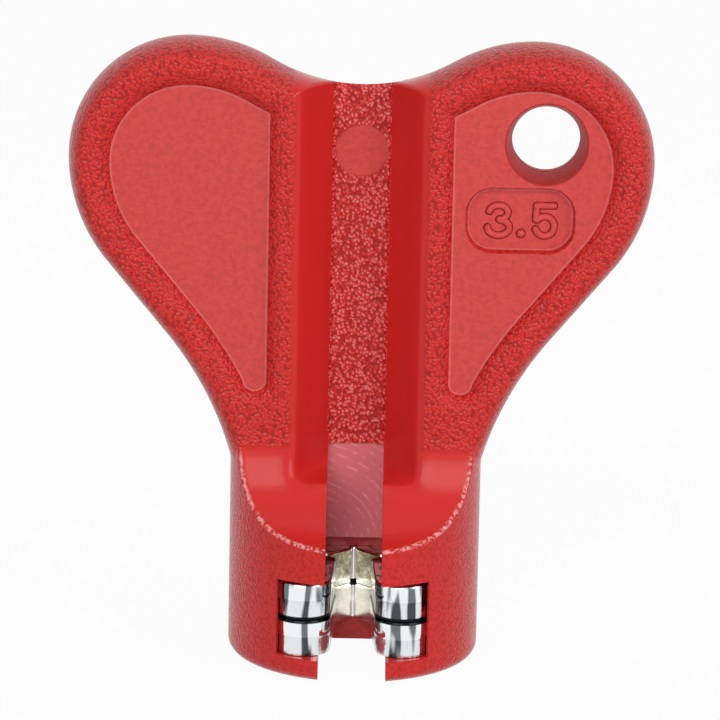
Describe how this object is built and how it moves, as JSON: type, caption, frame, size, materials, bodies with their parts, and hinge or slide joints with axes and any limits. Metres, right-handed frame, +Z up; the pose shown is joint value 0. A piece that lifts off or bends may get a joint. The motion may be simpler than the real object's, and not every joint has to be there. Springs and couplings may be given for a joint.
{
  "type": "spoke wrench",
  "caption": "Two-winged plastic spoke wrench with a spoke groove, hanging hole and steel jaws for square spoke nipples.",
  "frame": {"origin": "centre of the barrel's flat underside, on the axis of the square nipple seat", "axes": "+Z up along the barrel's axis towards the wings, -Y out of the open side of the slot and groove, +X towards the wing with the hanging hole"},
  "size_m": [0.0526, 0.0225, 0.0568],
  "materials": {
    "red_plastic": "moulded, spark-eroded grain on the flats, polished slopes",
    "plated_steel": "stamped hardened steel, bright nickel plated"
  },
  "bodies": {
    "root": {"handle": "red_plastic", "upper_jaw_plate": "plated_steel", "lower_jaw_plate": "plated_steel"}
  },
  "joints": []
}
